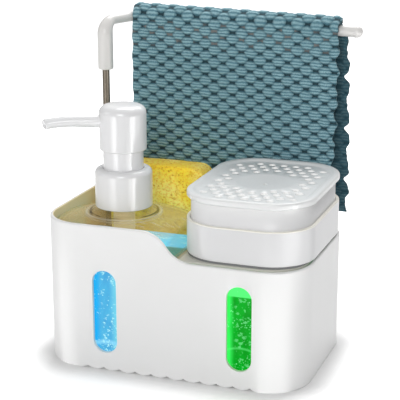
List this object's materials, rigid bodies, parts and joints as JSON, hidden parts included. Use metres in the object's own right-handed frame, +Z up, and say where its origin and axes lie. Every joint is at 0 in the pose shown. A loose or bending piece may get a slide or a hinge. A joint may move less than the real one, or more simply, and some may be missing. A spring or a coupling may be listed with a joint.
{
  "type": "kitchen-sink caddy",
  "caption": "Sink-side caddy: a white case with level windows holds a pump bottle, a press-top bottle and an upright sponge, with a towel rail and cloth behind.",
  "frame": {"origin": "centre of the case's footprint, on the surface that it stands on", "axes": "+Z up, +X right along the front with the level windows, +Y to the back, where the towel rail is"},
  "size_m": [0.1806, 0.135, 0.2181],
  "materials": {
    "case_white": "gloss",
    "pump_white": "gloss",
    "rail_white": "satin gloss",
    "clear_plastic": "clear gloss",
    "blue_liquid": "clear liquid",
    "green_liquid": "clear liquid",
    "grey_rubber": "matte",
    "steel": "drawn wire",
    "sponge_yellow": "open cellulose pores",
    "cloth_teal": "waffle knit"
  },
  "bodies": {
    "case": {"outer_case": "case_white", "foot_pads": "grey_rubber"},
    "pump_bottle_unit": {"pump_bottle": "clear_plastic", "blue_soap": "blue_liquid"},
    "pump_unit": {"pump_cylinder": "pump_white", "pump_gasket": "grey_rubber", "pump_chaplet": "pump_white", "pump_dip_tube": "clear_plastic", "pump_spring": "steel"},
    "collar": {"screw_collar": "pump_white"},
    "pump_plunger": {"pump_stem": "pump_white", "pump_piston_seal": "grey_rubber"},
    "pump_top": {"pump_head": "pump_white", "pump_nozzle": "pump_white"},
    "pump_valve": {"pump_ball": "steel"},
    "press_bottle_unit": {"press_bottle": "clear_plastic", "green_soap": "green_liquid"},
    "press_unit": {"press_tray": "pump_white", "tray_gasket": "grey_rubber", "press_cylinder": "pump_white", "press_chaplet": "pump_white", "press_dip_tube": "clear_plastic", "press_spring": "steel"},
    "press_plunger": {"press_stem": "pump_white", "press_piston_seal": "grey_rubber", "press_skirt": "pump_white", "press_plate": "pump_white"},
    "press_valve": {"press_ball": "steel"},
    "sponge_block": {"sponge": "sponge_yellow"},
    "rail": {"rail_rod": "steel", "rail_arm": "rail_white", "dish_cloth": "cloth_teal"}
  },
  "joints": [
    {"name": "pump_bottle_lift", "type": "slide", "parent": "case", "child": "pump_bottle_unit", "axis": [0, 0, 1], "range_m": [0, 0.1]},
    {"name": "pump_unit_lift", "type": "slide", "parent": "pump_bottle_unit", "child": "pump_unit", "axis": [0, 0, 1], "range_m": [0, 0.1]},
    {"name": "collar_turn", "type": "hinge", "parent": "pump_unit", "child": "collar", "pos_m": [-0.04235, -0.02055, 0.1], "axis": [0, 0, 1], "continuous": true},
    {"name": "pump_stroke", "type": "slide", "parent": "pump_unit", "child": "pump_plunger", "axis": [0, 0, -1], "range_m": [0, 0.0115], "stiffness_N_per_m": 150, "springref_m": -0.01, "deforming": ["pump_spring"]},
    {"name": "head_swivel", "type": "hinge", "parent": "pump_plunger", "child": "pump_top", "pos_m": [-0.04235, -0.02055, 0.1], "axis": [0, 0, 1], "continuous": true},
    {"name": "pump_valve_lift", "type": "slide", "parent": "pump_unit", "child": "pump_valve", "axis": [0, 0, 1], "range_m": [0, 0.0015]},
    {"name": "press_bottle_lift", "type": "slide", "parent": "case", "child": "press_bottle_unit", "axis": [0, 0, 1], "range_m": [0, 0.09]},
    {"name": "press_unit_lift", "type": "slide", "parent": "press_bottle_unit", "child": "press_unit", "axis": [0, 0, 1], "range_m": [0, 0.08]},
    {"name": "press_stroke", "type": "slide", "parent": "press_unit", "child": "press_plunger", "axis": [0, 0, -1], "range_m": [0, 0.012], "stiffness_N_per_m": 200, "springref_m": -0.01, "deforming": ["press_spring"]},
    {"name": "press_valve_lift", "type": "slide", "parent": "press_unit", "child": "press_valve", "axis": [0, 0, 1], "range_m": [0, 0.0015]},
    {"name": "sponge_lift", "type": "slide", "parent": "case", "child": "sponge_block", "axis": [0, 0, 1], "range_m": [0, 0.085]},
    {"name": "rail_swing", "type": "hinge", "parent": "case", "child": "rail", "pos_m": [-0.0795, 0.0375, 0.04], "axis": [0, 0, 1], "range_deg": [0, 120]}
  ]
}
